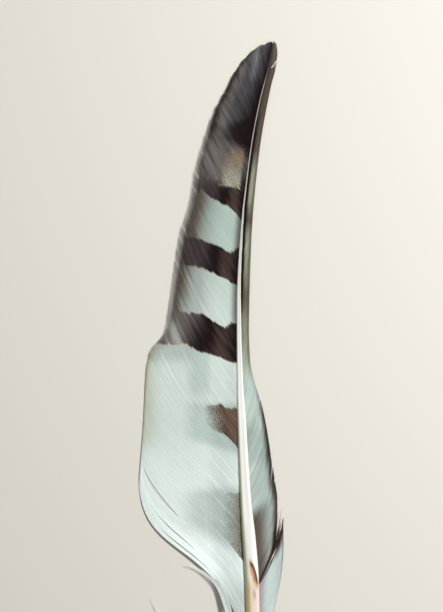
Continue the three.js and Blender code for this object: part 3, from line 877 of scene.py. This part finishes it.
outer = barb_field(
    barbs=OUTER_BARBS, count=OUTER_COUNT, steps=14, locks=25, splits=OUTER_SPLITS, seed=2, **OUTER_WAY
)
x, y = outer["path"][..., 0], outer["path"][..., 1]
middle, width = np.moveaxis(shaft_at(y), -1, 0)
span = (x - middle) / outer["across"].clip(0.001)
across = ((x - middle - width / 2) / (span - width / 2)).clip(0)
wander = 0.03 * random_along(outer["roots"], 2.5, 71) + 0.015 * random_along(outer["roots"], 0.7, 72)
ragged = across + wander[:, None]
by_shaft = 1 - smooth_step(0.1, 0.7, ragged)
stripe = smooth_step(0.16, 0.4, ragged + 0.25 * smooth_step(148, 134, y))
outer_places = {
    "y": y,
    "by shaft": by_shaft * (1 - 0.75 * smooth_step(232, 248, y)) * (0.35 + 0.65 * smooth_step(141, 153, y)),
    "stripe": stripe * (1 - 0.6 * smooth_step(0.6, 0.78, ragged)) * through(OLIVE_AT)(y)[..., 0],
    "below slant": y + 14 * (across - 0.3),
    "low": 1 - 0.7 * smooth_step(64, 54, y),
    "past margin": ragged - np.interp(y, *zip(*DARK_MARGIN)),
    "brown": 0.26 + 0.74 * smooth_step(0.85, 0.1, ragged),
    "brown slant": y - 10 * ragged,
}
outer_ground = washed(linear(OUTER_EDGE), OUTER_WASHES, outer_places)
finish_barbs(barb_object("outer_vane", outer), outer, outer_ground, 11, 0.28)

base = barb_field(
    barbs=OUTER_BASE_BARBS, count=OUTER_BASE_COUNT, steps=16, locks=6, splits=[], seed=3, **OUTER_WAY
)
base_places = {
    "y": base["path"][..., 1],
    "share": base["shares"],
    "onward": np.linspace(0, 1, len(base["roots"]))[:, None],
}
base_ground = washed(linear(OUTER_BLUE), OUTER_BASE_WASHES, base_places)
finish_barbs(barb_object("outer_vane_base", base), base, base_ground, 12, 0.1)

# The loose barbs: strands that have come free at the foot of the vane, and a dark tuft by the split on the
# right. Each strand is a few barbs that still lie together and part towards the tip.
STRAND_STEPS = 20
STRAND_SPACING = 0.17
STRAND_HALF = 0.24
STRAND_TAPER = 0.6
STRAND_RAGGED = 0.6
STRAND_SHORTER = 0.05
STRAND_NARROW = 0.6
STRAND_BELLY = 0.5
STRAND_WAVER = 0.2
STRAND_UNEVEN = 0.15
STRAND_TONES = (0.85, 1.05)
STRAND_ROOTS_APART = 0.4
# Each strand's line from its root, how wide it is, how high it lifts, and its colour
STRANDS = [
    ([(0, -50), (-7, -34), (-12.6, -19.6), (-16, -9.6), (-18.2, -5.4), (-23.2, 0), (-29.5, 4.5), (-35, 6.3)],
     1.3, 0.3, PALE_FOOT),
    ([(0, -48), (-6, -33), (-10.9, -20), (-14, -10), (-16.8, -4.5), (-19.5, -1)], 2.2, 0.1, PALE_LOW),
    ([(0, -51), (-15, -45), (-32, -37), (-43, -28), (-48.9, -19.1), (-52.8, -9.3)], 0.6, -0.8, PALE_FOOT),
    # Along the split: partly dark barbs, partly painted shadow in the split
    ([(2.6, -6.2), (6.3, 1.2), (9.5, 8), (11.9, 13.6), (13.2, 17.5), (14.1, 22), (14.8, 27), (16.2, 35.8)],
     0.95, 0.1, TUFT_BROWN),
    ([(10.8, 268.6), (11.8, 270), (12.9, 271.6), (14, 273)], 0.3, 0.1, PITH_IVORY),
    ([(9.2, 7.4), (11.6, 12), (13.9, 17), (15.4, 22), (16.7, 26.5), (17.4, 31.4)], 0.8, 0.1, TUFT_BROWN),
    ([(9.2, 7.5), (11, 12.5), (12.4, 19), (13, 24), (13.5, 28.5)], 0.5, 0.1, TUFT_BROWN),
    ([(0, -50), (-7, -42), (-13, -33), (-17, -24)], 2.0, 0.5, PALE_LOW),
    ([(0, -53), (-9, -46), (-19, -37), (-26, -29)], 1.9, 0.9, PALE_LOW),
    ([(0, -55), (-8, -51), (-16, -45), (-23, -38)], 1.7, 1.0, PALE_LOW),
    ([(1, -51), (7, -45), (11, -37), (13, -27)], 1.9, 0.3, OUTER_PALE),
    ([(1, -54), (6, -50), (10, -44), (11.5, -36)], 1.7, 0.4, OUTER_PALE),
]
strand_rng = np.random.default_rng(31)
strand_share = np.linspace(0, 1, STRAND_STEPS + 1)
strand_paths, strand_colours, strand_locks = [], [], []
for number, (line, wide, lift, colour) in enumerate(STRANDS):
    line = np.array(line, float)
    strand_at = through(np.column_stack([np.linspace(0, 1, len(line)), line]))
    slope = INNER_SLOPE if line[-1, 0] < 0 else OUTER_SLOPE
    for place in np.linspace(-0.5, 0.5, max(2, round(wide / STRAND_SPACING))):
        reach = 1 - STRAND_RAGGED * strand_rng.random() * abs(place)
        reach -= STRAND_SHORTER * strand_rng.random()
        share = strand_share * reach
        flat = strand_at(share)
        ahead = np.gradient(flat, axis=0)
        ahead /= np.linalg.norm(ahead, axis=1, keepdims=True)
        aside = place * wide * (STRAND_NARROW + STRAND_BELLY * np.sin(np.pi * share))
        aside += STRAND_WAVER * strand_rng.uniform(-1, 1) * share**2
        x, y = flat.T + np.stack([ahead[:, 1], -ahead[:, 0]]) * aside
        height = bed_height(y) + on_flank(x, y, slope) + BARB_BED + lift + share
        height += STRAND_UNEVEN * strand_rng.uniform(-1, 1) * share
        strand_paths.append(np.column_stack([x, y, height]))
        tone = strand_rng.uniform(*STRAND_TONES)
        strand_colours.append(np.tile(linear(colour), (len(share), 1)) * tone)
        strand_locks.append(number)
strands = {
    "path": np.array(strand_paths),
    "shares": np.tile(strand_share, (len(strand_paths), 1)),
    "roots": np.arange(len(strand_paths)) * STRAND_ROOTS_APART,
    "lock": np.array(strand_locks),
    "spacing": np.tile(STRAND_HALF * (1 - STRAND_TAPER * strand_share), (len(strand_paths), 1)),
}
finish_barbs(barb_object("loose_barbs", strands), strands, np.array(strand_colours), 13, 0.05)

# The floor: a plain pale studio surface, which isn't part of the object.
FLOOR_SIZE = 3.0
FLOOR_PALE = (228, 224, 214)
bpy.ops.mesh.primitive_plane_add(size=FLOOR_SIZE)
floor = bpy.context.object
floor.name = "floor"
floor_paint, *_, set_surface = new_material("floor_paint")
set_surface({"Base Color": (*linear(FLOOR_PALE), 1), "Roughness": 0.9})
floor.data.materials.append(floor_paint)

# The light: one soft panel from the right and a little above, as in the photograph, and pale light all
# round. Both are set so that a surface shows in the picture in its own colour.
KEY_SHARE = 0.77
KEY_DISTANCE = 1.4
KEY_HEIGHT_ANGLE = 44
KEY_AZIMUTH = 30
KEY_SIZE = 0.18
world = bpy.data.worlds.new("studio")
bpy.context.scene.world = world
world.use_nodes = True
world.node_tree.nodes["Background"].inputs["Color"].default_value = (1, 1, 1, 1)
world.node_tree.nodes["Background"].inputs["Strength"].default_value = 1 - KEY_SHARE
rise, turn = math.radians(KEY_HEIGHT_ANGLE), math.radians(KEY_AZIMUTH)
key_light = bpy.data.lights.new("key", "AREA")
key_light.size = KEY_SIZE
key_light.energy = KEY_SHARE * math.pi**2 * KEY_DISTANCE**2 / math.sin(rise)
key = bpy.data.objects.new("key", key_light)
bpy.context.collection.objects.link(key)
key.location = (
    KEY_DISTANCE * math.cos(rise) * math.cos(turn),
    KEY_DISTANCE * math.cos(rise) * math.sin(turn),
    KEY_DISTANCE * math.sin(rise),
)
key.rotation_mode = "QUATERNION"
key.rotation_quaternion = key.location.to_track_quat("Z", "Y")
bpy.context.scene.view_settings.view_transform = "Standard"

# The camera: straight above, with the tip at the top, framed as the photograph is.
PICTURE = (443, 612)
PIXEL = 0.53
SLIT_PIXEL = (251, 575)
CAMERA_HEIGHT = 900
NEAREST_SEEN = 0.01
camera = bpy.data.objects.new("camera", bpy.data.cameras.new("camera"))
bpy.context.collection.objects.link(camera)
off_slit = ((PICTURE[0] / 2 - SLIT_PIXEL[0]) * PIXEL, (SLIT_PIXEL[1] - PICTURE[1] / 2) * PIXEL)
camera.location = in_place(np.array([*off_slit, CAMERA_HEIGHT]))
camera.data.lens = camera.data.sensor_width * CAMERA_HEIGHT / (PICTURE[1] * PIXEL)
camera.data.clip_start = NEAREST_SEEN
bpy.context.scene.camera = camera
